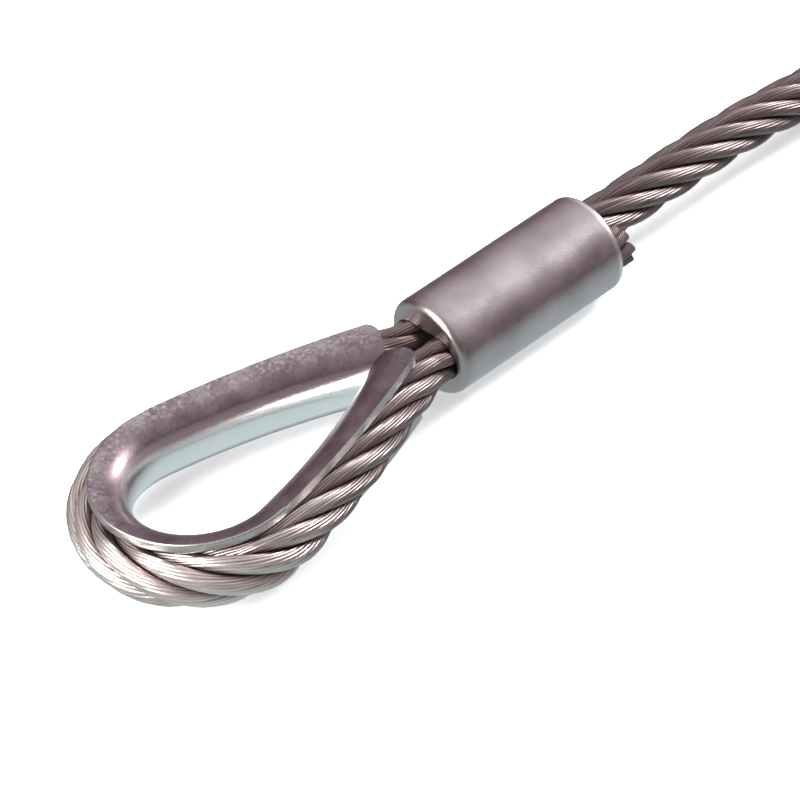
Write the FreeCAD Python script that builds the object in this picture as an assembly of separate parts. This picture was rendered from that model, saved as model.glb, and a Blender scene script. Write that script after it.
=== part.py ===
"""Single-leg wire rope sling with a thimble eye at each end.

Units are millimetres. The origin is the centre of the crown of the first
thimble, on its middle plane, where the pin of a shackle or hook passes. +X runs
from that crown along the sling to its ferrule, and +Z is the direction of the pin.
The sling lies on a level surface: the ferrules rest on it, the rope comes down
to it, and the spare length is wound into a tied coil beside the second eye.
"""
import FreeCAD, Part
import math
import os

V = FreeCAD.Vector
Z_AXIS = V(0, 0, 1)

# Rope: six strands laid right-handed round a core
ROPE_D = 10.0
STRAND_COUNT = 6
STRAND_D = 3.0
STRAND_CIRCLE_R = 3.45       # from the rope's axis to a strand's axis
CORE_D = 3.4
LAY_LENGTH = 63.0            # length in which a strand goes once round
SAMPLES_PER_LAY = 6          # places at which a strand's axis is fitted exactly

# Sling, from bearing point to bearing point of its two eyes, pulled straight
SLING_LENGTH = 1500.0

# Thimble: pressed steel sheet, a half pipe with short flared flanges
SHEET = 2.0
PIPE_R = 7.5                 # outside radius of the half pipe
FLARE = 7.0                  # degrees that the flanges open
FLANGE = 0.7
RIM_ROUND = 0.4
CROWN_R = 12.9               # bearing radius of the crown
CROWN_END = 11.0             # degrees past square where crown turns into leg
LEG_R = 146.5                # bearing radius of the slightly bowed legs
LEG_END = 28.6               # degrees, the direction square to the leg at its tip
TIP_GAP = 0.25               # between the two mitred leg tips
TIP_REACH = 9.7              # at the tips the flanges are this wide, from the bearing line
TIP_ROUND = 3.2              # outer corners of the leg tips, seen from above
ROPE_SEAT = 0.15             # between the rope and the bottom of its groove

# Ferrule: aluminium sleeve pressed on the two rope legs
FERRULE_R = 10.2
FERRULE_START = 55.8         # mouth, from the crown's centre
FERRULE_END = 98.6           # rear
MOUTH_ROUND = 1.5
REAR_ROUND = 1.2
MOUTH_LEG_Y = 5.05           # rope leg's axis at the mouth, each side
SPREAD_R = 35.0              # bend of the rope between thimble and ferrule
PRESSED_R = 4.5              # the two legs are pressed into one oval
PRESSED_HALF = 3.8           # from the oval's centre to each end's centre
PRESSED_END = 96.5           # behind it the live leg is round again
BORE_GAP = 0.1
LIVE_Y = 3.05                # live leg's axis where it leaves the rear
TAIL_Y = -4.3                # cut end of the dead leg, hollowed by the live one
TAIL_R = 3.9
TAIL_END = 102.2

# Ties: two turns of soft wire round the coil, their ends twisted together
TIE_WIRE_D = 1.6
TIE_GAP = 0.1
TIE_ANGLES = (180.0, 0.0)    # degrees round the coil; the last half turn lies at 0
TWIST_D = 3.0
TWIST_LENGTH = 11.0

# Lie of the free rope. The coil rests on its ties, the ferrules on the floor
FLOOR_Z = -FERRULE_R
LAID_Z = FLOOR_Z + TIE_WIRE_D + 2 * TIE_GAP + ROPE_D / 2
COIL_X = 226.0
COIL_LINE_Y = 3.3            # the first turn is tangent to this line
ENTRY_LEAD = 38.0            # straight rope in the coil before its first turn
EXIT_LEAD = 14.0             # and after its last
SECOND_REAR_LEAD = 38.1      # from the coil's middle to the second ferrule's rear
FIRST_RUN = (
    (PRESSED_END, LIVE_Y, 0.0),
    (121.0, LIVE_Y, 0.0),
    (146.0, 3.3, -0.6),
    (168.0, COIL_LINE_Y, LAID_Z),
    (COIL_X - ENTRY_LEAD, COIL_LINE_Y, LAID_Z),
)

# Coil: two turns side by side, then a turn and a half on top of them. Each line is
# a place along the turns: turns from the start of the first, how far outside the
# first turn's radius the rope is there, and how high above the lowest turns
COIL_TURNS = (
    (0.00, 0.0, 0.0),
    (0.70, 0.0, 0.0),
    (0.98, -10.1, 0.0),
    (1.58, -10.1, 0.0),
    (1.70, -10.1, 3.9),
    (1.78, -10.1, 7.8),
    (1.87, -9.6, 9.9),
    (1.96, -8.3, 10.4),
    (2.30, -8.2, 10.0),
    (2.46, -5.2, 9.0),
    (2.60, -5.2, 9.0),
    (2.72, -1.0, 10.4),
    (2.84, 2.2, 10.0),
    (3.25, 2.2, 10.0),
    (3.38, 8.0, 8.2),
    (3.50, 10.4, 3.4),
)
LAST_TURN_R = 57.0           # outer arc of the last quarter turn
SKIN = 0.25                  # from the rope's turns to the coil's outer shape
WAIST = 7.5                  # height over the ties up to which the coil is upright
LAST_TOP = 0.4               # the last quarter turn ends this far under the coil's top


def arc(start, middle, end):
    return Part.Arc(start, middle, end).toShape()


def line(start, end):
    return Part.LineSegment(start, end).toShape()


def box_between(low, high):
    size = high - low
    return Part.makeBox(size.x, size.y, size.z, low)


# ---------------------------------------------------------------- rope in an eye


class EyePath:
    """Axis of the rope in an eye: from the mouth of the ferrule round to it again."""

    def __init__(self, lead):
        crown_r = CROWN_R + SHEET + ROPE_SEAT + ROPE_D / 2
        leg_r = crown_r - CROWN_R + LEG_R
        crown_end = math.radians(CROWN_END)
        centre_x = (CROWN_R - LEG_R) * math.sin(crown_end)
        centre_y = (CROWN_R - LEG_R) * math.cos(crown_end)
        rise = MOUTH_LEG_Y + SPREAD_R - centre_y
        run = math.sqrt((leg_r + SPREAD_R) ** 2 - rise ** 2)
        spread_x = centre_x + run
        spread = math.atan2(run, rise)
        straight = FERRULE_START + lead - spread_x
        leg = spread - crown_end
        crown = math.pi + 2 * crown_end
        half = [(straight, 0.0), (SPREAD_R * spread, -1 / SPREAD_R), (leg_r * leg, 1 / leg_r)]
        self.pieces = half + [(crown_r * crown, 1 / crown_r)] + half[::-1]
        self.start = (FERRULE_START + lead, MOUTH_LEG_Y, math.pi)
        self.length = sum(piece[0] for piece in self.pieces)

    def at(self, distance):
        """Point, direction and bend of the axis this far along it."""
        x, y, heading = self.start
        for length, bend in self.pieces:
            step = min(distance, length)
            turned = heading + bend * step
            if bend:
                x += (math.sin(turned) - math.sin(heading)) / bend
                y -= (math.cos(turned) - math.cos(heading)) / bend
            else:
                x += step * math.cos(heading)
                y += step * math.sin(heading)
            heading = turned
            distance -= step
            if distance <= 0:
                break
        return V(x, y, 0), V(math.cos(heading), math.sin(heading), 0), bend

    def strand_at(self, distance, phase):
        """Point and direction of a strand's axis, wound right-handed round the rope's."""
        centre, ahead, bend = self.at(distance)
        left = Z_AXIS.cross(ahead)
        rate = 2 * math.pi / LAY_LENGTH
        angle = phase + rate * distance
        out = left * math.cos(angle) + Z_AXIS * math.sin(angle)
        turning = Z_AXIS * math.cos(angle) - left * math.sin(angle)
        stretch = 1 - bend * STRAND_CIRCLE_R * math.cos(angle)
        direction = ahead * stretch + turning * (rate * STRAND_CIRCLE_R)
        return centre + out * STRAND_CIRCLE_R, direction.normalize()


def corner_arc(start, corner, end):
    """Arc that leaves start and reaches end along the two equal sides of a corner."""
    side = (corner - start).Length
    middle = (start + end) * 0.5
    to_middle = middle - corner
    half_turn = math.asin(min(1.0, to_middle.Length / side))
    share = math.tan(half_turn / 2) / math.sin(half_turn)
    return arc(start, corner + to_middle * share, end)


def two_arcs(start, start_dir, end, end_dir):
    """Two arcs that join two points and are tangent to the given directions."""
    chord = end - start
    both = start_dir + end_dir
    a = 2 * start_dir.dot(end_dir) - 2
    b = -2 * chord.dot(both)
    c = chord.dot(chord)
    side = 2 * c / (-b + math.sqrt(b * b - 4 * a * c))
    first_corner = start + start_dir * side
    second_corner = end - end_dir * side
    joint = (first_corner + second_corner) * 0.5
    return [corner_arc(start, first_corner, joint), corner_arc(joint, second_corner, end)]


def swept_tube(edges, start, direction, diameter):
    circle = Part.Wire([Part.Circle(start, direction, diameter / 2).toShape()])
    return Part.Wire(edges).makePipeShell([circle], True, False)


def cut_at_mouth(tube):
    """Cut off what reaches past the ferrule's mouth."""
    low = V(FERRULE_START, -FERRULE_R * 2, -FERRULE_R * 2)
    high = V(FERRULE_START + FERRULE_R * 2, FERRULE_R * 2, FERRULE_R * 2)
    return tube.cut(box_between(low, high)).Solids[0]


def eye_strand(number):
    path = EyePath(lead=6.0)
    count = round(path.length / LAY_LENGTH * SAMPLES_PER_LAY)
    phase = 2 * math.pi * number / STRAND_COUNT
    places = [path.strand_at(path.length * i / count, phase) for i in range(count + 1)]
    edges = []
    for (start, start_dir), (end, end_dir) in zip(places, places[1:]):
        edges += two_arcs(start, start_dir, end, end_dir)
    return cut_at_mouth(swept_tube(edges, *places[0], STRAND_D))


def eye_core():
    path = EyePath(lead=6.0)
    edges = []
    covered = 0.0
    for length, bend in path.pieces:
        start, middle, end = (path.at(covered + share * length)[0] for share in (0, 0.5, 1))
        edges.append(arc(start, middle, end) if bend else line(start, end))
        covered += length
    return cut_at_mouth(swept_tube(edges, path.at(0)[0], path.at(0)[1], CORE_D))


# ---------------------------------------------------------------- thimble


def rounded_corner(corner, before, after):
    """Points where a small round starts, passes and ends, between two unit directions."""
    bulge = RIM_ROUND * (1 - math.sqrt(0.5))
    return (
        corner - before * RIM_ROUND,
        corner + (after - before) * bulge,
        corner + after * RIM_ROUND,
    )


def lip_reach(flange):
    """How far a flange of this length reaches from the bearing line."""
    flare = math.radians(FLARE)
    return PIPE_R * (1 - math.sin(flare)) + flange * math.cos(flare)


def channel_face(radius, centre, out, flange):
    """Section of the thimble's sheet, placed square to its path."""
    def place(point):
        return centre + out * (radius + point.x) + Z_AXIS * point.y

    def on_pipe(pipe_r, degrees):
        angle = math.radians(degrees)
        return V(PIPE_R - pipe_r * math.cos(angle), pipe_r * math.sin(angle), 0)

    inner_r = PIPE_R - SHEET
    reach = 90.0 - FLARE
    flare = math.radians(FLARE)
    edges = [
        arc(*(place(on_pipe(PIPE_R, a)) for a in (reach, 0, -reach))),
        arc(*(place(on_pipe(inner_r, a)) for a in (-reach, 0, reach))),
    ]
    for side in (1, -1):
        along = V(math.cos(flare), side * math.sin(flare), 0)
        across = V(math.sin(flare), -side * math.cos(flare), 0)
        outer_start = on_pipe(PIPE_R, side * reach)
        inner_start = on_pipe(inner_r, side * reach)
        outer = rounded_corner(outer_start + along * flange, along, across)
        inner = rounded_corner(inner_start + along * flange, across, along * -1)
        edges += [
            line(place(outer_start), place(outer[0])),
            arc(*(place(p) for p in outer)),
            line(place(outer[2]), place(inner[0])),
            arc(*(place(p) for p in inner)),
            line(place(inner[2]), place(inner_start)),
        ]
    return Part.Face(Part.Wire(Part.__sortEdges__(edges)))


def swept_channel(radius, centre, first, last, flange):
    """The channel turned about an upright axis, between two directions in degrees."""
    out = V(math.cos(math.radians(first)), math.sin(math.radians(first)), 0)
    return channel_face(radius, centre, out, flange).revolve(centre, Z_AXIS, last - first)


def tip_corner(centre):
    """What the round at a leg tip's outer corner takes off its square end."""
    angle = math.radians(90 - LEG_END)
    out = V(math.cos(angle), math.sin(angle), 0)
    ahead = V(math.sin(angle), -math.cos(angle), 0)
    middle = centre + out * (LEG_R + TIP_REACH - TIP_ROUND) - ahead * TIP_ROUND
    middle -= Z_AXIS * (2 * PIPE_R)
    reach = 2 * TIP_ROUND
    square = [middle, middle + out * reach, middle + (out + ahead) * reach, middle + ahead * reach]
    height = Z_AXIS * (4 * PIPE_R)
    corner = Part.Face(Part.makePolygon(square + square[:1])).extrude(height)
    return corner.cut(Part.makeCylinder(TIP_ROUND, height.Length, middle))


def widening_lips(leg_centre, square_out):
    """Upright cylinder whose side is the leg's lip: it parts from the crown's lip smoothly."""
    lip_r = LEG_R + lip_reach(FLANGE)
    length = lip_r * math.radians(LEG_END - CROWN_END)
    widening = TIP_REACH - lip_reach(FLANGE)
    radius = 1 / (1 / lip_r - 2 * widening / length ** 2)
    centre = leg_centre + square_out * (lip_r - radius) - Z_AXIS * (2 * PIPE_R)
    return Part.makeCylinder(radius, 4 * PIPE_R, centre)


def thimble():
    crown_end = math.radians(CROWN_END)
    square_out = V(math.sin(crown_end), math.cos(crown_end), 0)
    crown = swept_channel(CROWN_R, V(0, 0, 0), 90 - CROWN_END, 270 + CROWN_END, FLANGE)
    leg_centre = square_out * (CROWN_R - LEG_R)
    leg = swept_channel(LEG_R, leg_centre, 90 - LEG_END, 90 - CROWN_END, TIP_REACH - PIPE_R + 1)
    leg = leg.common(widening_lips(leg_centre, square_out))
    reach = 60.0
    own_side = box_between(V(-reach, TIP_GAP / 2, -reach), V(reach, reach, reach))
    leg = leg.common(own_side).cut(tip_corner(leg_centre))
    other_leg = leg.mirror(V(0, 0, 0), V(0, 1, 0))
    return crown.fuse([leg, other_leg]).removeSplitter().Solids[0]


# ---------------------------------------------------------------- ferrule


def x_cylinder(radius, start_x, end_x, y, z=0.0):
    return Part.makeCylinder(radius, end_x - start_x, V(start_x, y, z), V(1, 0, 0))


def oval_bar(radius, start_x, end_x):
    ends = [x_cylinder(radius, start_x, end_x, y) for y in (PRESSED_HALF, -PRESSED_HALF)]
    middle = box_between(V(start_x, -PRESSED_HALF, -radius), V(end_x, PRESSED_HALF, radius))
    return middle.fuse(ends).removeSplitter()


def pressed_legs():
    """The live and the dead leg, pressed together, with the dead leg's cut end."""
    tail = x_cylinder(TAIL_R, PRESSED_END - 2, TAIL_END, TAIL_Y)
    live_leg = x_cylinder(ROPE_D / 2 + BORE_GAP, PRESSED_END, TAIL_END + 1, LIVE_Y)
    pressed = oval_bar(PRESSED_R, FERRULE_START, PRESSED_END)
    return pressed.fuse(tail.cut(live_leg)).Solids[0]


def quarter_round(start, end, centre):
    """Quarter of a circle between two points."""
    chord_middle = (start + end) * 0.5
    outward = (chord_middle - centre).normalize()
    return arc(start, centre + outward * (start - centre).Length, end)


def ferrule():
    front, rear, r = FERRULE_START, FERRULE_END, FERRULE_R
    mouth_edge = V(front, 0, r - MOUTH_ROUND)
    mouth_top = V(front + MOUTH_ROUND, 0, r)
    rear_top = V(rear - REAR_ROUND, 0, r)
    rear_edge = V(rear, 0, r - REAR_ROUND)
    outline = [
        line(V(front, 0, 0), mouth_edge),
        quarter_round(mouth_edge, mouth_top, V(front + MOUTH_ROUND, 0, r - MOUTH_ROUND)),
        line(mouth_top, rear_top),
        quarter_round(rear_top, rear_edge, V(rear - REAR_ROUND, 0, r - REAR_ROUND)),
        line(rear_edge, V(rear, 0, 0)),
        line(V(rear, 0, 0), V(front, 0, 0)),
    ]
    body = Part.Face(Part.Wire(outline)).revolve(V(0, 0, 0), V(1, 0, 0), 360)
    holes = [
        oval_bar(PRESSED_R + BORE_GAP, front - 1, PRESSED_END),
        x_cylinder(ROPE_D / 2 + BORE_GAP, PRESSED_END - 1, rear + 1, LIVE_Y),
        x_cylinder(TAIL_R + BORE_GAP, PRESSED_END - 1, rear + 1, TAIL_Y),
    ]
    return body.cut(holes).Solids[0]


# ---------------------------------------------------------------- free rope


def rounded_route(points):
    """Straight runs joined by tangent arcs as large as the runs allow, and their radii."""
    edges = []
    radii = []
    last = points[0]
    for before, corner, after in zip(points, points[1:], points[2:]):
        back = before - corner
        ahead = after - corner
        reach = 0.45 * min(back.Length, ahead.Length)
        half_turn = (math.pi - back.getAngle(ahead)) / 2
        start = corner + back.normalize() * reach
        end = corner + ahead.normalize() * reach
        radii.append(reach / math.tan(half_turn))
        edges += [line(last, start), corner_arc(start, corner, end)]
        last = end
    edges.append(line(last, points[-1]))
    return edges, radii


def free_tube(name, points):
    edges, radii = rounded_route(points)
    tube = swept_tube(edges, points[0], points[1] - points[0], ROPE_D)
    length = sum(edge.Length for edge in edges)
    swept = math.pi * ROPE_D ** 2 / 4 * length
    print(f"{name}: length {length:.1f}, radii {[round(r) for r in radii]}, "
          f"volume over section times length {tube.Volume / swept:.4f}")
    return tube, length


def coil_radius(first_run_length, last_run_length):
    """Radius of the first turn that uses up the rope, and the length of free rope."""
    free = SLING_LENGTH - 2 * (CROWN_R + PRESSED_END)
    wound = free - first_run_length - last_run_length - ENTRY_LEAD - EXIT_LEAD
    turns = COIL_TURNS[-1][0] - COIL_TURNS[0][0]
    wider = sum(
        (after[0] - before[0]) * (before[1] + after[1]) / 2
        for before, after in zip(COIL_TURNS, COIL_TURNS[1:])
    )
    return (wound / (2 * math.pi) - wider) / turns, free


def upright_ring(section, centre, first, sweep):
    """A closed outline of (radius, height over the floor) turned about an upright axis."""
    out = V(math.cos(math.radians(first)), math.sin(math.radians(first)), 0)
    points = [centre + out * r + Z_AXIS * (FLOOR_Z + height) for r, height in section]
    face = Part.Face(Part.makePolygon(points + points[:1]))
    return face.revolve(centre, Z_AXIS, sweep)


def bundle_section(inner, outer, top_outer, top):
    under = TIE_WIRE_D + TIE_GAP
    return [
        (inner, under),
        (outer, under),
        (outer, under + WAIST),
        (top_outer, top),
        (inner, top),
    ]


class Coil:
    def __init__(self, radius):
        half = ROPE_D / 2 + SKIN
        under = TIE_WIRE_D + TIE_GAP
        narrowest = min(wider for _, wider, _ in COIL_TURNS)
        widest_on_top = max(wider for turn, wider, _ in COIL_TURNS if turn <= 3.25)
        top = LAID_Z + max(height for _, _, height in COIL_TURNS) + half - FLOOR_Z
        self.centre = V(COIL_X, COIL_LINE_Y - radius, 0)
        self.exit_y = self.centre.y - radius - COIL_TURNS[-1][1]
        self.last_centre = V(COIL_X, self.exit_y + LAST_TURN_R, 0)
        self.last_turn = [
            (LAST_TURN_R - half, under),
            (LAST_TURN_R + half, under),
            (LAST_TURN_R + half, top - LAST_TOP),
            (LAST_TURN_R - half, top - LAST_TOP),
        ]
        inner = radius + narrowest - half
        outer = radius + half
        top_outer = radius + widest_on_top + half
        drop = self.centre.y - self.last_centre.y
        reach = math.sqrt((LAST_TURN_R + half) ** 2 - drop ** 2) + TIE_GAP
        self.single = bundle_section(inner, outer, top_outer, top)
        self.double = bundle_section(inner, reach, reach, top)

    def solid(self):
        """Outer shape of the turns, with the rope that leads in and out."""
        ring = upright_ring(self.single, self.centre, 0, 360)
        last_turn = upright_ring(self.last_turn, self.last_centre, -90, 180)
        lead_in = x_cylinder(ROPE_D / 2, COIL_X - ENTRY_LEAD, COIL_X, COIL_LINE_Y, LAID_Z)
        lead_out = x_cylinder(ROPE_D / 2, COIL_X - EXIT_LEAD, COIL_X + 2, self.exit_y)
        return ring.fuse([last_turn, lead_in, lead_out]).Solids[0]

    def tie(self, degrees, section):
        """Two turns of wire round the bundle at one place, and their twisted ends."""
        angle = math.radians(degrees)
        out = V(math.cos(angle), math.sin(angle), 0)
        along = Z_AXIS.cross(out)
        hull = section[:2] + section[3:]
        corners = [self.centre + out * r + Z_AXIS * (FLOOR_Z + height) for r, height in hull]
        path = Part.makePolygon(corners + corners[:1]).makeOffset2D(TIE_WIRE_D / 2 + TIE_GAP)
        start = path.Edges[0].Vertexes[0].Point
        direction = path.Edges[0].tangentAt(path.Edges[0].FirstParameter)
        circle = Part.Wire([Part.Circle(start, direction, TIE_WIRE_D / 2).toShape()])
        turn = path.makePipeShell([circle], True, False)
        pitch = TIE_WIRE_D * 0.95
        turns = [turn.translated(along * (pitch * side)) for side in (-0.5, 0.5)]
        outside = (corners[1] + corners[2]) * 0.5 + out * TIE_GAP
        twist = Part.makeCylinder(TWIST_D / 2, TWIST_LENGTH, outside, out)
        return turns[0].fuse([turns[1], twist]).cut(self.solid()).Solids[0]


# ---------------------------------------------------------------- the whole sling


def parts():
    eye = {"thimble": thimble(), "ferrule": ferrule(), "pressed_legs": pressed_legs()}
    eye["eye_core"] = eye_core()
    for number in range(STRAND_COUNT):
        eye[f"eye_strand_{number + 1}"] = eye_strand(number)

    first_run, first_length = free_tube("rope_run_a", [V(*p) for p in FIRST_RUN])
    second_rear = COIL_X - SECOND_REAR_LEAD
    second_crown_x = second_rear - FERRULE_END
    last_run_start = second_crown_x + PRESSED_END
    last_length = COIL_X - EXIT_LEAD - last_run_start
    radius, free = coil_radius(first_length, last_length)
    coil = Coil(radius)
    second_eye = V(second_crown_x, coil.exit_y - LIVE_Y, 0)
    print(f"free rope {free:.1f}, radius of the first turn {radius:.2f}")
    print(f"coil centre {coil.centre.x:.2f}, {coil.centre.y:.2f}; "
          f"second eye {second_eye.x:.2f}, {second_eye.y:.2f}")

    made = {}
    for end, offset in (("a", V(0, 0, 0)), ("b", second_eye)):
        for name, shape in eye.items():
            made[f"{name}_{end}"] = shape.translated(offset)
    made["rope_run_a"] = first_run
    made["rope_coil"] = coil.solid()
    made["rope_run_b"] = x_cylinder(
        ROPE_D / 2, last_run_start, COIL_X - EXIT_LEAD, coil.exit_y
    )
    made["coil_tie_1"] = coil.tie(TIE_ANGLES[0], coil.single)
    made["coil_tie_2"] = coil.tie(TIE_ANGLES[1], coil.double)
    return made


def main():
    os.makedirs("parts", exist_ok=True)
    for name, shape in parts().items():
        if not shape.isValid() or shape.ShapeType != "Solid":
            print(f"{name}: {shape.ShapeType}, valid {shape.isValid()}")
        shape.exportStep(f"parts/{name}.step")


main()
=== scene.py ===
"""Wire rope sling: finished pieces, materials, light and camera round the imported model.

Shapes are worked out in millimetres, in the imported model's own frame, and turned
into metres where a mesh or an object is made. The origin is the centre of the first
thimble's crown, +X runs from it to its ferrule and +Z is up from the floor.
"""

import math

import bpy
import numpy as np
from mathutils import Matrix, Vector


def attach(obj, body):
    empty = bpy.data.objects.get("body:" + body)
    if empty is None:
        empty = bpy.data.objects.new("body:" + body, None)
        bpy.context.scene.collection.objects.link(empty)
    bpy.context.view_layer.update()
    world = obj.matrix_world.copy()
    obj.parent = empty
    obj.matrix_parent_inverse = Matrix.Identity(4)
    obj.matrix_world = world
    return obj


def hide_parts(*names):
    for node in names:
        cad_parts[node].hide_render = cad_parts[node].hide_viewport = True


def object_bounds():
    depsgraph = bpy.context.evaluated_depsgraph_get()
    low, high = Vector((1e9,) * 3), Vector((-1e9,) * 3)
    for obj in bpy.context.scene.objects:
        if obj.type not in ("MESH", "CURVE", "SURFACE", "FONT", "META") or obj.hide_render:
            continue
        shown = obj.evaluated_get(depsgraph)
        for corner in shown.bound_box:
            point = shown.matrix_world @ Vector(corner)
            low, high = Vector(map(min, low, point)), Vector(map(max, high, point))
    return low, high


MM = 0.001

# Rope: strands round a core, each of wires round its own middle
ROPE_D = 10.0
STRANDS = 6
STRAND_CIRCLE_R = 3.4
STRAND_R = 1.6
WIRES = 14
GROOVE_DEPTH = 0.13          # of the valleys between a strand's wires
LAY_LENGTH = 63.0            # rope in which a strand goes once round
WIRE_TWIST = -0.2115         # radians per mm, so that the outer wires run along the rope
CORE_R = 1.78
SHADE_AND_LUBRICANT_R = 2.2                 # nearer the rope's axis than this, a strand takes the full dark colour, partly painted shade between the strands, partly lubricant
WIRE_MAP = (0.1, 3.7, 11.3)  # steps in the wires' noise: along, to the next wire and strand

# Eye: axis of the rope round the thimble
CROWN_ROPE_R = 20.05
CROWN_END = math.radians(11.0)
LEG_ROPE_R = 153.65
SPREAD_R = 35.0
MOUTH_X = 55.8
MOUTH_LEG_Y = 5.05
EYE_LEAD = 4.6               # length of rope carried on inside the ferrule
SQUEEZE_START = 46.0         # from here on the legs narrow to this share at the mouth
SQUEEZE_Y = 0.82
SQUEEZE_Z = 0.9
BULGE_START = 20.2           # the rope swells past the thimble's lips, from this radius
BULGE_END = 22.5
BULGE_OUT = 1.09
BULGE_UP = 1.26
BULGE_FADE_X = (-2.0, 24.0)  # and less and less over these stretches
BULGE_FADE_Y = (-2.0, 12.0)
EYE_PAINTED_SHADE = 0.9             # share of painted shade on the legs, the darker copy of the wire's colour; the crown keeps the lit colour
PAINTED_SHADE_FADE_X = (-10.0, 22.0)
SECOND_EYE = (89.3, -118.89)
EYES = (("a", (0.0, 0.0)), ("b", SECOND_EYE))

# Ferrule and what is pressed in it
FERRULE_END = 98.6
REAR_ROUND = 1.2
PRESSED_R = 4.5
PRESSED_HALF = 3.8
PRESSED_END = 96.5
TAIL_Y = -4.3
TAIL_END = 102.2
TAIL_STRANDS = 5             # the rest are crushed against the live leg
TAIL_STRAND_R = 1.16
TAIL_CIRCLE_R = 2.65
TAIL_SPACING = math.radians(52.0)
TAIL_CORE_R = 1.75
TAIL_LEAN = 1.1              # behind the ferrule the cut end springs away from the live leg
TAIL_FLARE = 0.25            # and its strands spread

# Ties round the coil: two turns of soft wire, their ends twisted together
TIE_WIRE_R = 0.8
TIE_ANGLES = (180.0, 0.0)
TIE_TURNS = 2
TIE_STEPS = 40               # points in a turn
TIE_LEAVES = 4               # steps from the twist at which the wire is on the bundle
TIE_SPACING = 0.88           # from one turn to the next
TWIST_LEAD = 1.5             # from the bundle to the twist
TWIST_LENGTH = 10.5
TWIST_PITCH = 5.2
TWIST_STEPS = 24

# Lie of the free rope
LAID_Z = -3.4
COIL_X = 226.0
COIL_LINE_Y = 3.3
COIL_R = 54.37
POINTS_PER_TURN = 16
FIRST_RUN = (
    (96.5, 3.05, 0.0),
    (121.0, 3.05, 0.0),
    (146.0, 3.3, -0.6),
    (168.0, 3.3, -3.4),
    (188.0, 3.3, -3.4),
    (203.0, 3.3, -3.4),
)
COIL_TURNS = (
    (0.00, 0.0, 0.0),
    (0.70, 0.0, 0.0),
    (0.98, -10.1, 0.0),
    (1.58, -10.1, 0.0),
    (1.70, -10.1, 3.9),
    (1.78, -10.1, 7.8),
    (1.87, -9.6, 9.9),
    (1.96, -8.3, 10.4),
    (2.30, -8.2, 10.0),
    (2.46, -5.2, 9.0),
    (2.60, -5.2, 9.0),
    (2.72, -1.0, 10.4),
    (2.84, 2.2, 10.0),
    (3.25, 2.2, 10.0),
    (3.38, 8.0, 8.2),
    (3.50, 10.4, 3.4),
)
LAST_RUN_X = (215.0, 200.0, 185.8)

# Camera
CAMERA_AZIMUTH = math.radians(-37.849)
CAMERA_ELEVATION = math.radians(40.593)
CAMERA_ROLL = math.radians(-7.206)
CAMERA_TARGET = (42.519, -6.945, 0.0)
CAMERA_DISTANCE = 711.47
CAMERA_LENS = 172.34

# Stage
LIGHT_TARGET = (40.0, -10.0, 0.0)
FLOOR_REACH = 6.0            # metres
DOME_TOP = (0.35, 0.05, 0.93)
DOME_COLOURS = (             # from straight below, 0, to the dome's top, 1
    (0.0, (0.60, 0.70, 0.71)),
    (0.28, (0.56, 0.64, 0.65)),
    (0.42, (0.36, 0.37, 0.38)),
    (0.49, (0.12, 0.085, 0.09)),
    (0.635, (0.25, 0.175, 0.195)),
    (0.73, (0.38, 0.30, 0.32)),
    (0.87, (0.62, 0.55, 0.58)),
    (0.985, (0.88, 0.83, 0.86)),
)

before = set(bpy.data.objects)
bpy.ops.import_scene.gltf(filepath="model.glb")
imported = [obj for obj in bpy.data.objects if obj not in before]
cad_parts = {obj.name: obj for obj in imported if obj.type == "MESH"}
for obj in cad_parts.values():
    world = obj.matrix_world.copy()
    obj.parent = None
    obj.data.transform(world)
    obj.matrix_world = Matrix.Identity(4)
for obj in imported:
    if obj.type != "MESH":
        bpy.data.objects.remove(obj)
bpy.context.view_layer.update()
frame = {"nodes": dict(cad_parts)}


# ---------------------------------------------------------------- lines in space


def steps_along(line):
    """Distance along a line of points, from its start to each point."""
    lengths = np.linalg.norm(np.diff(line, axis=0), axis=1)
    return np.concatenate([[0.0], np.cumsum(lengths)])


def spaced(line, step):
    """The line again, with points an even step apart."""
    along = steps_along(line)
    count = round(along[-1] / step) + 1
    at = np.linspace(0.0, along[-1], count)
    return np.stack([np.interp(at, along, line[:, k]) for k in range(3)], axis=1)


def unit(vectors):
    """The vectors with their lengths made one."""
    return vectors / np.linalg.norm(vectors, axis=-1, keepdims=True)


def directions(line):
    """Unit vector ahead along a line at each of its points."""
    return unit(np.gradient(line, steps_along(line), axis=0))


def side_and_top(ahead, reference=(0.0, 0.0, 1.0)):
    """For each direction, one square to it and to the reference, and one square to both."""
    left = unit(np.cross(reference, ahead))
    return left, np.cross(ahead, left)


def smooth_step(values, start, end):
    """From 0 at the start to 1 at the end, level at both."""
    share = np.clip((values - start) / (end - start), 0.0, 1.0)
    return share * share * (3.0 - 2.0 * share)


def eye_line(step):
    """Axis of the rope in the first eye, from inside the ferrule round to it again."""
    centre_x = (CROWN_ROPE_R - LEG_ROPE_R) * math.sin(CROWN_END)
    centre_y = (CROWN_ROPE_R - LEG_ROPE_R) * math.cos(CROWN_END)
    rise = MOUTH_LEG_Y + SPREAD_R - centre_y
    run = math.sqrt((LEG_ROPE_R + SPREAD_R) ** 2 - rise ** 2)
    spread = math.atan2(run, rise)
    start_x = MOUTH_X + EYE_LEAD
    half = [
        (start_x - centre_x - run, 0.0),
        (SPREAD_R * spread, -1.0 / SPREAD_R),
        (LEG_ROPE_R * (spread - CROWN_END), 1.0 / LEG_ROPE_R),
    ]
    crown = (CROWN_ROPE_R * (math.pi + 2.0 * CROWN_END), 1.0 / CROWN_ROPE_R)
    heading = math.pi
    points = [np.array([start_x, MOUTH_LEG_Y, 0.0])]
    for length, bend in half + [crown] + half[::-1]:
        count = max(1, round(length / step))
        for _ in range(count):
            middle = heading + bend * length / count / 2.0
            ahead = np.array([math.cos(middle), math.sin(middle), 0.0])
            points.append(points[-1] + ahead * length / count)
            heading += bend * length / count
    return np.array(points)


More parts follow.
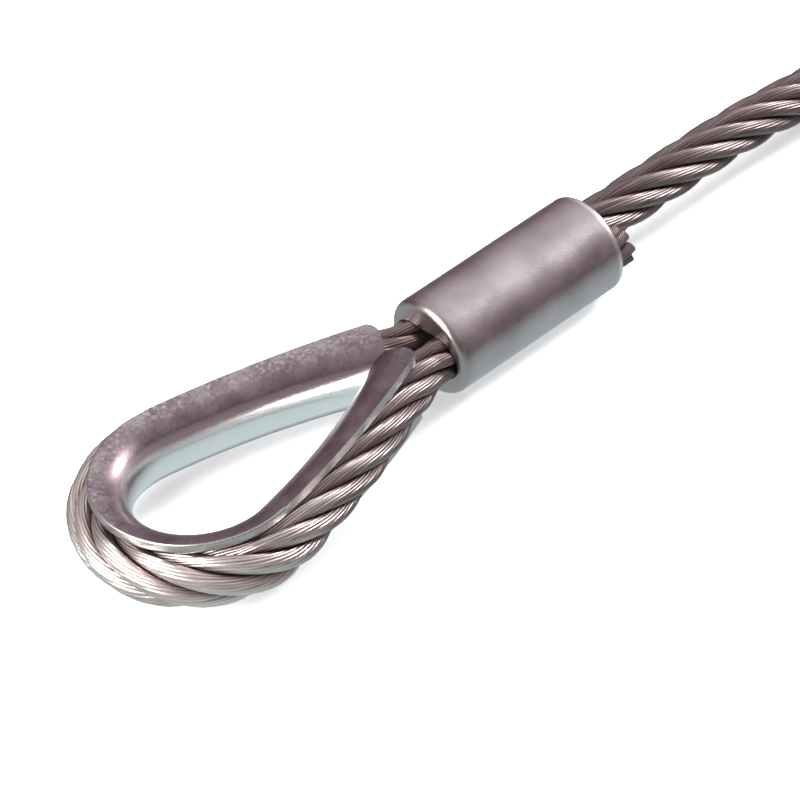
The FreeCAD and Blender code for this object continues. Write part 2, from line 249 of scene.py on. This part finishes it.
def coil_place(turn):
    """Radius and height of the coil's rope after this many turns."""
    turns, wider, higher = zip(*COIL_TURNS)
    return COIL_R + np.interp(turn, turns, wider), LAID_Z + np.interp(turn, turns, higher)


def free_rope_points():
    """The free rope's route: the run from the first ferrule, the coil's turns, the last run."""
    points = list(FIRST_RUN)
    half_step = math.pi / POINTS_PER_TURN
    centre_y = COIL_LINE_Y - COIL_R
    points.append((COIL_X - COIL_R * math.tan(half_step), COIL_LINE_Y, LAID_Z))
    for number in range(round(COIL_TURNS[-1][0] * POINTS_PER_TURN)):
        turn = (number + 0.5) / POINTS_PER_TURN
        radius, height = coil_place(turn)
        radius /= math.cos(half_step)
        angle = math.pi / 2.0 - 2.0 * math.pi * turn
        x = COIL_X + radius * math.cos(angle)
        points.append((x, centre_y + radius * math.sin(angle), height))
    last_y = centre_y - COIL_R - COIL_TURNS[-1][1]
    points += [(x, last_y, 0.0) for x in LAST_RUN_X]
    return points


def spline_line(points):
    """Points close together along the smooth spline that has these as its control points."""
    curve = bpy.data.curves.new("route", "CURVE")
    curve.dimensions = "3D"
    curve.resolution_u = 24
    spline = curve.splines.new("NURBS")
    spline.points.add(len(points) - 1)
    for point, place in zip(spline.points, points):
        point.co = (*place, 1.0)
    spline.order_u = 3
    spline.use_endpoint_u = True
    route = bpy.data.objects.new("route", curve)
    mesh = bpy.data.meshes.new_from_object(route)
    line = np.array([v.co for v in mesh.vertices], float)
    bpy.data.meshes.remove(mesh)
    bpy.data.curves.remove(curve)
    return line


# ---------------------------------------------------------------- meshes


def rings_to_faces(rings, size):
    """Quads between rings of points that follow one another."""
    ring = np.arange(rings - 1)[:, None] * size
    here = np.arange(size)[None, :]
    after = (here + 1) % size
    faces = np.stack([ring + here, ring + after, ring + size + after, ring + size + here], axis=2)
    return faces.reshape(-1, 4).tolist()


def make_mesh(name, points, faces, sharp_degrees=None, attributes=()):
    """A mesh object from points in millimetres, shaded smooth except at sharp edges."""
    mesh = bpy.data.meshes.new(name)
    mesh.from_pydata((np.asarray(points) * MM).tolist(), [], faces)
    mesh.update()
    mesh.shade_smooth()
    if sharp_degrees is not None:
        mesh.set_sharp_from_angle(angle=math.radians(sharp_degrees))
    for label, values in attributes:
        values = np.asarray(values, np.float32)
        kind = "FLOAT_VECTOR" if values.ndim == 2 else "FLOAT"
        field = "vector" if values.ndim == 2 else "value"
        mesh.attributes.new(label, kind, "POINT").data.foreach_set(field, values.ravel())
    piece = bpy.data.objects.new(name, mesh)
    bpy.context.scene.collection.objects.link(piece)
    return piece


def finish_piece(piece, material, replaced=()):
    """Give a piece its material and body, and hide the CAD nodes that it stands for."""
    piece.data.materials.append(material)
    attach(piece, "root")
    if replaced:
        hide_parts(*replaced)
    return piece


def wire_outline(strand_r):
    """Radius, angle and wire of the points round a strand: a valley and a back per wire."""
    outline = []
    for wire in range(WIRES):
        for share in (-1.0, -0.55, 0.0, 0.55):
            angle = 2.0 * math.pi * (wire + share / 2.0) / WIRES
            outline.append((strand_r - GROOVE_DEPTH * share ** 2, angle, wire))
    return np.array(outline)


def strand_points(axis, out, outline, along):
    """Surface points of a strand of twisted wires along its own axis."""
    ahead = directions(axis)
    out = unit(out - ahead * np.sum(out * ahead, axis=1, keepdims=True))
    side = np.cross(ahead, out)
    angle = outline[None, :, 1] + (WIRE_TWIST * along)[:, None]
    across = outline[None, :, 0] * np.cos(angle)
    round_ = outline[None, :, 0] * np.sin(angle)
    return axis[:, None] + out[:, None] * across[..., None] + side[:, None] * round_[..., None]


def capped(points, faces, rings, size):
    """Close both ends of a tube with a fan of triangles round a middle point."""
    flat = points.reshape(-1, 3)
    middles = [points[0].mean(axis=0), points[-1].mean(axis=0)]
    flat = np.vstack([flat, middles])
    first, last = len(flat) - 2, len(flat) - 1
    start = (rings - 1) * size
    for k in range(size):
        after = (k + 1) % size
        faces.append([first, after, k])
        faces.append([last, start + k, start + after])
    return flat, faces


def wire_attributes(line, points, out, outline, number, painted_shade):
    """What the wire's material reads at each point: its groove, depth, place and painted shade."""
    rings, size = points.shape[:2]
    groove = (outline[:, 0] - outline[:, 0].min()) / np.ptp(outline[:, 0])
    from_axis = np.sum((points - line[:, None]) * out[:, None], axis=2)
    outside = np.clip((from_axis - SHADE_AND_LUBRICANT_R) / (ROPE_D / 2.0 - SHADE_AND_LUBRICANT_R), 0.0, 1.0)
    place = np.stack(np.broadcast_arrays(
        steps_along(line)[:, None] * WIRE_MAP[0],
        outline[None, :, 2] * WIRE_MAP[1],
        number * WIRE_MAP[2],
    ), axis=2)
    middles = [0.0, 0.0]
    return (
        ("groove", np.concatenate([np.tile(groove, rings), middles])),
        ("outside", np.concatenate([outside.ravel(), middles])),
        ("wire_map", np.vstack([place.reshape(-1, 3), place[0, 0], place[-1, 0]])),
        ("painted_shade", np.concatenate([np.repeat(painted_shade, size), middles])),
    )


def rope_strand(name, line, number, painted_shade, shaped=None):
    """One strand of the rope, with its wires, wound round the rope's axis."""
    along = steps_along(line)
    left, top = side_and_top(directions(line))
    angle = 2.0 * math.pi * (number / STRANDS + along / LAY_LENGTH)
    out = left * np.cos(angle)[:, None] + top * np.sin(angle)[:, None]
    outline = wire_outline(STRAND_R)
    points = strand_points(line + out * STRAND_CIRCLE_R, out, outline, along)
    attributes = wire_attributes(line, points, out, outline, number, painted_shade)
    if shaped is not None:
        points = shaped(points)
    rings, size = points.shape[:2]
    flat, faces = capped(points, rings_to_faces(rings, size), rings, size)
    return make_mesh(name, flat, faces, sharp_degrees=50.0, attributes=attributes)


def round_tube(name, line, radius, sides, reference=(0.0, 0.0, 1.0)):
    """A closed tube along a line that is nowhere parallel to the reference direction."""
    ahead = directions(line)
    left, top = side_and_top(ahead, reference)
    angle = np.linspace(0.0, 2.0 * math.pi, sides, endpoint=False)
    across = left[:, None] * np.cos(angle)[None, :, None]
    across = across + top[:, None] * np.sin(angle)[None, :, None]
    points = line[:, None] + across * radius
    faces = rings_to_faces(len(line), sides)
    flat, faces = capped(points, faces, len(line), sides)
    return make_mesh(name, flat, faces, sharp_degrees=50.0)


# ---------------------------------------------------------------- camera, light, floor


def aim(direction, roll=0.0):
    """Rotation of a camera or light that is out in this direction and looks back."""
    back = Vector(direction).normalized()
    right = Vector((0.0, 0.0, 1.0)).cross(back).normalized()
    up = back.cross(right)
    turned_right = right * math.cos(roll) + up * math.sin(roll)
    turned_up = up * math.cos(roll) - right * math.sin(roll)
    return Matrix((turned_right, turned_up, back)).transposed()


def place_camera():
    """The camera looks down on the first eye, with its ferrule behind it."""
    out = Vector((
        math.sin(CAMERA_AZIMUTH) * math.cos(CAMERA_ELEVATION),
        -math.cos(CAMERA_AZIMUTH) * math.cos(CAMERA_ELEVATION),
        math.sin(CAMERA_ELEVATION),
    ))
    place = (Vector(CAMERA_TARGET) + out * CAMERA_DISTANCE) * MM
    data = bpy.data.cameras.new("camera")
    data.lens = CAMERA_LENS
    data.sensor_width = 36.0
    data.clip_start = 0.05
    camera = bpy.data.objects.new("camera", data)
    camera.matrix_world = Matrix.Translation(place) @ aim(out, CAMERA_ROLL).to_4x4()
    bpy.context.scene.collection.objects.link(camera)
    bpy.context.scene.camera = camera


def place_light(name, direction, distance, size, watts, colour, glossy=True):
    """A square softbox aimed at the first eye and its ferrule."""
    data = bpy.data.lights.new(name, "AREA")
    data.size = size
    data.energy = watts
    data.color = colour
    light = bpy.data.objects.new(name, data)
    light.visible_glossy = glossy
    out = Vector(direction).normalized()
    place = Vector(LIGHT_TARGET) * MM + out * distance
    light.matrix_world = Matrix.Translation(place) @ aim(out).to_4x4()
    bpy.context.scene.collection.objects.link(light)


def place_lights():
    """Soft light from above, a softbox at the crown's side and a small light opposite it."""
    place_light("floor_fill", (0.1, 0.05, 1.0), 1.2, 1.3, 10.0, (1.0, 1.0, 1.0), glossy=False)
    place_light("left_softbox", (-0.78, 0.08, 0.50), 0.6, 0.42, 8.0, (1.0, 0.97, 0.93))
    place_light("right_spot", (0.86, -0.16, 0.46), 0.8, 0.15, 4.5, (1.0, 1.0, 0.98))


def make_world():
    """A dome of light: brightest near overhead, dark at the horizon, pale grey below it."""
    world = bpy.data.worlds.new("studio")
    world.use_nodes = True
    nodes = world.node_tree.nodes
    links = world.node_tree.links
    background = nodes["Background"]
    place = nodes.new("ShaderNodeTexCoord")
    towards = nodes.new("ShaderNodeVectorMath")
    towards.operation = "DOT_PRODUCT"
    towards.inputs[1].default_value = Vector(DOME_TOP).normalized()
    from_below = nodes.new("ShaderNodeMath")
    from_below.operation = "MULTIPLY_ADD"
    from_below.inputs[1].default_value = 0.5
    from_below.inputs[2].default_value = 0.5
    ramp = nodes.new("ShaderNodeValToRGB")
    links.new(place.outputs["Generated"], towards.inputs[0])
    links.new(towards.outputs["Value"], from_below.inputs[0])
    links.new(from_below.outputs["Value"], ramp.inputs["Fac"])
    ramp.color_ramp.elements.remove(ramp.color_ramp.elements[1])
    for number, (position, colour) in enumerate(DOME_COLOURS):
        if number:
            ramp.color_ramp.elements.new(position)
        ramp.color_ramp.elements[number].position = position
        ramp.color_ramp.elements[number].color = (*colour, 1.0)
    links.new(ramp.outputs["Color"], background.inputs["Color"])
    bpy.context.scene.world = world


# ---------------------------------------------------------------- materials


class Shader:
    """A material built node by node."""

    def __init__(self, name):
        """Start from a principled surface; object_place is the place on the object."""
        self.material = bpy.data.materials.new(name)
        self.material.use_nodes = True
        self.tree = self.material.node_tree
        self.surface = self.tree.nodes["Principled BSDF"]
        self.object_place = self.node("ShaderNodeTexCoord").outputs["Object"]

    def node(self, kind, **settings):
        """A new node of this kind, with these settings."""
        made = self.tree.nodes.new(kind)
        for label, value in settings.items():
            setattr(made, label, value)
        return made

    def connect(self, source, target):
        self.tree.links.new(source, target)

    def set(self, **values):
        """Constants on the surface's own sockets."""
        for label, value in values.items():
            self.surface.inputs[label.replace("_", " ")].default_value = value

    def attribute(self, name, output="Fac"):
        """A value that the mesh carries at its points."""
        return self.node("ShaderNodeAttribute", attribute_name=name).outputs[output]

    def noise(self, scale, detail=2.0, rough=0.5, place=None):
        """Noise over the object, or over another place."""
        made = self.node("ShaderNodeTexNoise")
        made.inputs["Scale"].default_value = scale
        made.inputs["Detail"].default_value = detail
        made.inputs["Roughness"].default_value = rough
        self.connect(place or self.object_place, made.inputs["Vector"])
        return made.outputs["Fac"]

    def math(self, operation, first, second=0.5):
        """The result of a math node; each input is a number or a socket."""
        made = self.node("ShaderNodeMath", operation=operation)
        for socket, value in zip(made.inputs, (first, second)):
            if isinstance(value, (int, float)):
                socket.default_value = value
            else:
                self.connect(value, socket)
        return made.outputs[0]

    def spread(self, value, low, high, to_low=0.0, to_high=1.0):
        """Map a value from one range to another, held at its ends."""
        made = self.node("ShaderNodeMapRange", clamp=True)
        self.connect(value, made.inputs["Value"])
        for label, number in (
            ("From Min", low), ("From Max", high), ("To Min", to_low), ("To Max", to_high)
        ):
            made.inputs[label].default_value = number
        return made.outputs["Result"]

    def mix(self, share, first, second):
        """A share of the second colour in the first; each is a colour or a socket."""
        made = self.node("ShaderNodeMix", data_type="RGBA")
        if isinstance(share, (int, float)):
            made.inputs[0].default_value = share
        else:
            self.connect(share, made.inputs[0])
        for socket, value in ((made.inputs[6], first), (made.inputs[7], second)):
            if isinstance(value, tuple):
                socket.default_value = (*value, 1.0)
            else:
                self.connect(value, socket)
        return made.outputs[2]

    def split(self, vector):
        """The vector's three components."""
        made = self.node("ShaderNodeSeparateXYZ")
        self.connect(vector, made.inputs[0])
        return tuple(made.outputs)

    def place_from(self, offset):
        """Place on the object, measured from an offset given in millimetres."""
        made = self.node("ShaderNodeVectorMath", operation="SUBTRACT")
        made.inputs[1].default_value = [value * MM for value in offset]
        self.connect(self.object_place, made.inputs[0])
        return made.outputs[0]

    def colour(self, source):
        self.connect(source, self.surface.inputs["Base Color"])

    def roughness(self, source):
        self.connect(source, self.surface.inputs["Roughness"])

    def bump(self, height, distance, strength):
        """Surface normal tilted by the slope of a height."""
        made = self.node("ShaderNodeBump")
        made.inputs["Strength"].default_value = strength
        made.inputs["Distance"].default_value = distance
        self.connect(height, made.inputs["Height"])
        return made.outputs["Normal"]

    def normal(self, source):
        self.connect(source, self.surface.inputs["Normal"])


def wire_material():
    """Drawn wire: bright backs, darker in the grooves and between the strands, partly painted
    shade and partly lubricant, and painted shade on the legs and the free rope.
    """
    shader = Shader("drawn_wire")
    place = shader.attribute("wire_map", "Vector")
    tone = shader.noise(1.0, detail=3.0, place=place)
    groove = shader.attribute("groove")
    outside = shader.attribute("outside")
    shade = shader.spread(tone, 0.35, 0.65)
    # painted shade: the darker copy, dull, stands on the legs and the free rope, by the share that
    # the strands carry
    bright = shader.mix(shade, (0.56, 0.485, 0.47), (0.80, 0.74, 0.70))
    dull = shader.mix(shade, (0.16, 0.120, 0.124), (0.32, 0.265, 0.262))
    lit_and_shaded = shader.mix(shader.attribute("painted_shade"), bright, dull)
    # darker in the grooves between the wires: partly painted shade, partly lubricant
    groove_shade_and_lubricant = shader.mix(0.4, lit_and_shaded, (0.18, 0.135, 0.14))
    between_wires = shader.mix(shader.spread(groove, 0.0, 0.6), groove_shade_and_lubricant, lit_and_shaded)
    # darker towards the rope's axis, between the strands: partly painted shade, partly lubricant
    depth = shader.spread(outside, 0.15, 0.75)
    shader.colour(shader.mix(depth, (0.24, 0.185, 0.19), between_wires))
    fine = shader.noise(2600.0, detail=3.0)
    shader.roughness(shader.spread(fine, 0.3, 0.7, 0.30, 0.44))
    shader.normal(shader.bump(fine, 0.00004, 0.5))
    shader.set(Metallic=1.0)
    return shader.material


def thimble_material(end, offset):
    """Zinc-plated sheet: dull and flecked on the flanges, with a painted reflection, near white,
    on its upright faces that don't face outwards.
    """
    shader = Shader(f"zinc_plated_sheet_{end}")
    facing = shader.split(shader.node("ShaderNodeNewGeometry").outputs["Normal"])
    place = shader.split(shader.place_from((*offset, 0.0)))
    level = shader.math("SQRT", shader.math("SUBTRACT", 1.0, shader.math("POWER", facing[2], 2.0)))
    across = shader.math("SUBTRACT", 1.0, level)
    outward = shader.math(
        "ADD",
        shader.math("MULTIPLY", shader.math("MINIMUM", place[0], 0.0), facing[0]),
        shader.math("MULTIPLY", place[1], facing[1]),
    )
    upright = shader.spread(across, 0.5, 0.75, 1.0, 0.0)
    cut_edge = shader.math("MULTIPLY", shader.math("GREATER_THAN", outward, 0.0), upright)
    clouds = shader.noise(160.0, detail=3.0)
    grains = shader.noise(1300.0, detail=3.0, rough=0.65)
    far_side = shader.spread(place[1], -0.008, 0.012)
    lighter = shader.math("MULTIPLY", shader.spread(across, 0.45, 0.9), far_side)
    patches = shader.spread(clouds, 0.36, 0.64)
    dark = shader.mix(patches, (0.20, 0.150, 0.175), (0.30, 0.245, 0.265))
    light = shader.mix(patches, (0.33, 0.275, 0.305), (0.54, 0.495, 0.505))
    flecks = shader.math("MULTIPLY", shader.spread(grains, 0.54, 0.66), lighter)
    dull = shader.mix(flecks, shader.mix(lighter, dark, light), (0.70, 0.67, 0.66))
    dull = shader.mix(shader.spread(grains, 0.48, 0.36, 0.0, 0.35), dull, (0.12, 0.085, 0.105))
    # painted reflection: upright faces that don't face outwards are painted near white
    wavy = shader.math("ADD", across, shader.math("MULTIPLY", clouds, 0.06))
    painted_reflection_mask = shader.spread(wavy, 0.11, 0.25, 1.0, 0.0)
    bright = shader.mix(clouds, (0.86, 0.88, 0.88), (0.95, 0.96, 0.95))
    faced = shader.mix(painted_reflection_mask, dull, bright)
    shader.colour(shader.mix(cut_edge, faced, (0.50, 0.515, 0.505)))
    shader.roughness(shader.spread(painted_reflection_mask, 0.0, 1.0, 0.36, 0.22))
    shader.normal(shader.bump(grains, 0.00005, 0.45))
    shader.set(Metallic=1.0)
    return shader.material


def ferrule_material(end, offset):
    """Pressed aluminium: satin, with painted shade at the mouth and a painted highlight on its
    rear edge.
    """
    shader = Shader(f"pressed_aluminium_{end}")
    along = shader.split(shader.place_from((*offset, 0.0)))[0]
    grain = shader.noise(1500.0, detail=3.0, rough=0.6)
    clouds = shader.noise(110.0, detail=4.0, rough=0.6)
    round_start = (FERRULE_END - REAR_ROUND) * MM
    metal = shader.mix(shader.spread(clouds, 0.3, 0.7), (0.44, 0.40, 0.415), (0.56, 0.52, 0.535))
    # painted shade: darker over the first 4 mm from the mouth
    mouth = shader.spread(along, MOUTH_X * MM, (MOUTH_X + 4.0) * MM, 0.7, 0.0)
    metal = shader.mix(mouth, metal, (0.34, 0.29, 0.285))
    # painted highlight: pale from just before the rear rounding to the end
    painted_rear_highlight = shader.spread(along, round_start - 0.0006, round_start)
    shader.colour(shader.mix(painted_rear_highlight, metal, (0.86, 0.83, 0.83)))
    shader.roughness(shader.spread(clouds, 0.3, 0.7, 0.26, 0.36))
    shader.normal(shader.bump(grain, 0.00005, 0.5))
    shader.set(Metallic=1.0)
    return shader.material


def core_material():
    """The rope's core and its crushed strands: dark, with old lubricant."""
    shader = Shader("greased_core")
    shade = shader.noise(700.0, detail=2.0)
    shader.colour(shader.mix(shade, (0.14, 0.105, 0.11), (0.26, 0.205, 0.205)))
    shader.roughness(shader.spread(shade, 0.3, 0.7, 0.4, 0.6))
    shader.set(Metallic=0.9)
    return shader.material


def tie_material():
    """Soft annealed wire, dull grey."""
    shader = Shader("soft_tie_wire")
    shade = shader.noise(500.0, detail=2.0)
    shader.colour(shader.mix(shade, (0.34, 0.34, 0.35), (0.52, 0.52, 0.53)))
    shader.roughness(shader.spread(shade, 0.3, 0.7, 0.35, 0.5))
    shader.set(Metallic=1.0)
    return shader.material


def floor_material():
    """Pale floor that glows a little, so that it stays nearly white."""
    shader = Shader("pale_floor")
    shade = shader.noise(6.0, detail=1.0)
    shader.colour(shader.mix(shade, (0.85, 0.90, 0.92), (0.87, 0.92, 0.94)))
    shader.set(Roughness=0.8, Emission_Color=(0.98, 1.0, 1.0, 1.0), Emission_Strength=0.45)
    return shader.material


# ---------------------------------------------------------------- pieces of the sling


def make_floor():
    """A flat floor under the sling's lowest point."""
    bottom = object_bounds()[0][2]
    mesh = bpy.data.meshes.new("floor")
    signs = ((-1, -1), (1, -1), (1, 1), (-1, 1))
    corners = [(x * FLOOR_REACH, y * FLOOR_REACH, bottom) for x, y in signs]
    mesh.from_pydata(corners, [], [(0, 1, 2, 3)])
    mesh.materials.append(floor_material())
    floor = bpy.data.objects.new("floor", mesh)
    floor.visible_glossy = False
    bpy.context.scene.collection.objects.link(floor)


def squeezed_into_mouth(points):
    """The two rope legs narrow towards the ferrule's mouth."""
    share = smooth_step(points[..., 0], SQUEEZE_START, MOUTH_X)
    points = points.copy()
    points[..., 1] *= 1.0 - share * (1.0 - SQUEEZE_Y)
    points[..., 2] *= 1.0 - share * (1.0 - SQUEEZE_Z)
    return points


def bulged_round_crown(points):
    """The rope swells a little where it stands out of the thimble's crown."""
    across = np.stack([np.minimum(points[..., 0], 0.0), points[..., 1]], axis=-1)
    radius = np.linalg.norm(across, axis=-1)
    share = smooth_step(radius, BULGE_START, BULGE_END)
    share *= 1.0 - smooth_step(points[..., 0], *BULGE_FADE_X)
    share *= 1.0 - smooth_step(points[..., 1], *BULGE_FADE_Y)
    wider = share * (BULGE_OUT - 1.0) * (radius - CROWN_ROPE_R)
    points = points.copy()
    points[..., :2] += across * (wider / radius)[..., None]
    points[..., 2] *= 1.0 + share * (BULGE_UP - 1.0)
    return points


def make_eyes(wire):
    """The six strands of both eyes, each in place of its CAD strand."""
    line = eye_line(1.5)
    # painted shade: the legs darken towards the ferrule, the crown keeps the lit colour
    painted_shade = EYE_PAINTED_SHADE * smooth_step(line[:, 0], *PAINTED_SHADE_FADE_X)
    for end, offset in EYES:
        for number in range(STRANDS):
            name = f"eye_strand_{number + 1}_{end}"

            def into_place(points, offset=offset):
                """Shape the strand's points and move them to this eye."""
                return squeezed_into_mouth(bulged_round_crown(points)) + [*offset, 0.0]

            strand = rope_strand(f"wound_{name}", line, number, painted_shade, into_place)
            finish_piece(strand, wire, (name,))


def make_free_rope(wire, core):
    """The rope between the ferrules: its line, its strands and its core."""
    line = spaced(spline_line(free_rope_points()), 2.0)
    # painted shade: the free rope takes the darker copy of the wire's colour all along
    painted_shade = np.ones(len(line))
    strands = [rope_strand(f"free_strand_{n + 1}", line, n, painted_shade) for n in range(STRANDS)]
    for strand in strands:
        finish_piece(strand, wire, ("rope_run_a", "rope_coil", "rope_run_b"))
    middle = round_tube("free_core", line, CORE_R, 10)
    finish_piece(middle, core)
    return line, strands, middle


def pressed_outline(radius, half, per_end):
    """Points (y, z) round an oval with two round ends."""
    outline = []
    for side in (1.0, -1.0):
        for step in range(per_end + 1):
            angle = math.pi * (step / per_end - 0.5)
            y = side * (half + radius * math.cos(angle))
            outline.append((y, side * radius * math.sin(angle)))
    return np.array(outline)


def make_pressed_oval(end, offset, core):
    """The two legs pressed into one oval in the ferrule."""
    outline = pressed_outline(PRESSED_R, PRESSED_HALF, 14)
    places = np.linspace(MOUTH_X + EYE_LEAD, PRESSED_END, 8)
    points = np.array([[(x, y, z) for y, z in outline] for x in places]) + [*offset, 0.0]
    rings, size = points.shape[:2]
    flat, faces = capped(points, rings_to_faces(rings, size), rings, size)
    oval = make_mesh(f"pressed_oval_{end}", flat, faces, sharp_degrees=50.0)
    finish_piece(oval, core, (f"pressed_legs_{end}",))


def make_cut_end(end, offset, core):
    """The dead leg's cut end behind the ferrule: strands round what is left of the core."""
    places = np.linspace(PRESSED_END, TAIL_END, 24)
    sprung = smooth_step(places, FERRULE_END - 0.5, FERRULE_END + 1.5)
    line = np.stack([places, TAIL_Y - TAIL_LEAN * sprung, np.zeros(len(places))], axis=1)
    middle = round_tube(f"tail_core_{end}", line + [*offset, 0.0], TAIL_CORE_R, 12)
    finish_piece(middle, core, (f"pressed_legs_{end}",))

    along = steps_along(line)
    away, top = (0.0, -1.0, 0.0), (0.0, 0.0, 1.0)
    outline = wire_outline(TAIL_STRAND_R)
    for number in range(TAIL_STRANDS):
        angle = TAIL_SPACING * (number - (TAIL_STRANDS - 1) / 2.0)
        angle = angle + 2.0 * math.pi * (along - along.mean()) / LAY_LENGTH
        out = np.outer(np.cos(angle), away) + np.outer(np.sin(angle), top)
        axis = line + out * (TAIL_CIRCLE_R + TAIL_FLARE * sprung)[:, None] + [*offset, 0.0]
        points = strand_points(axis, out, outline, along)
        rings, size = points.shape[:2]
        flat, faces = capped(points, rings_to_faces(rings, size), rings, size)
        stub = make_mesh(f"tail_strand_{number + 1}_{end}", flat, faces, sharp_degrees=50.0)
        finish_piece(stub, core, (f"pressed_legs_{end}",))


def rope_crossings(line, centre, out):
    """Where the rope's turns cross an upright half plane: distance from centre and height."""
    flat = line[:, :2] - centre
    beside = flat @ np.array([-out[1], out[0]])
    beyond = flat @ np.array(out)
    crossings = []
    for i in np.nonzero((beside[:-1] * beside[1:] <= 0.0) & (beyond[:-1] > 0.0))[0]:
        share = beside[i] / (beside[i] - beside[i + 1])
        crossings.append((
            beyond[i] + share * (beyond[i + 1] - beyond[i]),
            line[i, 2] + share * (line[i + 1, 2] - line[i, 2]),
        ))
    return np.array(crossings)


def twisted_end(start, height, phase):
    """One wire of the twist, outwards: how far beyond, beside and above the coil's centre."""
    places = []
    for k in range(TWIST_STEPS + 1):
        along = TWIST_LENGTH * k / TWIST_STEPS
        turned = phase + 2.0 * math.pi * along / TWIST_PITCH
        beside = TIE_WIRE_R * math.sin(turned)
        places.append((start + along, beside, height + TIE_WIRE_R * math.cos(turned)))
    return places


def turns_round_bundle(crossings, reach):
    """The tie's turns on the outside of the rope's turns, in the same three measures."""
    places = []
    steps = TIE_TURNS * TIE_STEPS
    for k in range(TIE_LEAVES, steps - TIE_LEAVES + 1):
        angle = 2.0 * math.pi * k / TIE_STEPS
        facing = np.array([math.cos(angle), math.sin(angle)])
        beyond, up = crossings[np.argmax(crossings @ facing)] + facing * reach
        places.append((beyond, TIE_SPACING * TIE_TURNS * (k / steps - 0.5), up))
    return places


def make_tie(number, degrees, line, material):
    """Soft wire twice round the bundle of turns, its two ends twisted together outside."""
    centre = np.array([COIL_X, COIL_LINE_Y - COIL_R])
    out = (math.cos(math.radians(degrees)), math.sin(math.radians(degrees)))
    crossings = rope_crossings(line, centre, out)
    reach = ROPE_D / 2.0 + TIE_WIRE_R
    start = crossings[:, 0].max() + reach + TWIST_LEAD
    height = crossings[:, 1].mean()
    path = twisted_end(start, height, 0.0)[::-1]
    path += turns_round_bundle(crossings, reach)
    path += twisted_end(start, height, math.pi)
    points = []
    for beyond, beside, up in path:
        x = centre[0] + out[0] * beyond - out[1] * beside
        y = centre[1] + out[1] * beyond + out[0] * beside
        points.append((x, y, up))
    tie_line = spaced(spline_line(points), 0.7)
    across = (-out[1], out[0], 0.0)
    tie = round_tube(f"tie_wire_{number}", tie_line, TIE_WIRE_R, 10, reference=across)
    return finish_piece(tie, material, (f"coil_tie_{number}",))


def paint(nodes, name, material):
    """Give a CAD node this material in place of its own."""
    slots = nodes[name].data.materials
    slots.clear()
    slots.append(material)


def main():
    """Stage, then materials on the CAD nodes, then the pieces that Blender makes."""
    place_camera()
    place_lights()
    make_world()
    make_floor()
    bpy.context.scene.view_settings.view_transform = "Standard"

    wire = wire_material()
    core = core_material()
    tie = tie_material()
    nodes = frame["nodes"]
    for end, offset in EYES:
        paint(nodes, f"thimble_{end}", thimble_material(end, offset))
        paint(nodes, f"ferrule_{end}", ferrule_material(end, offset))
        paint(nodes, f"eye_core_{end}", core)
        make_pressed_oval(end, offset, core)
        make_cut_end(end, offset, core)

    make_eyes(wire)
    line, strands, middle = make_free_rope(wire, core)
    ties = [make_tie(n + 1, angle, line, tie) for n, angle in enumerate(TIE_ANGLES)]


main()
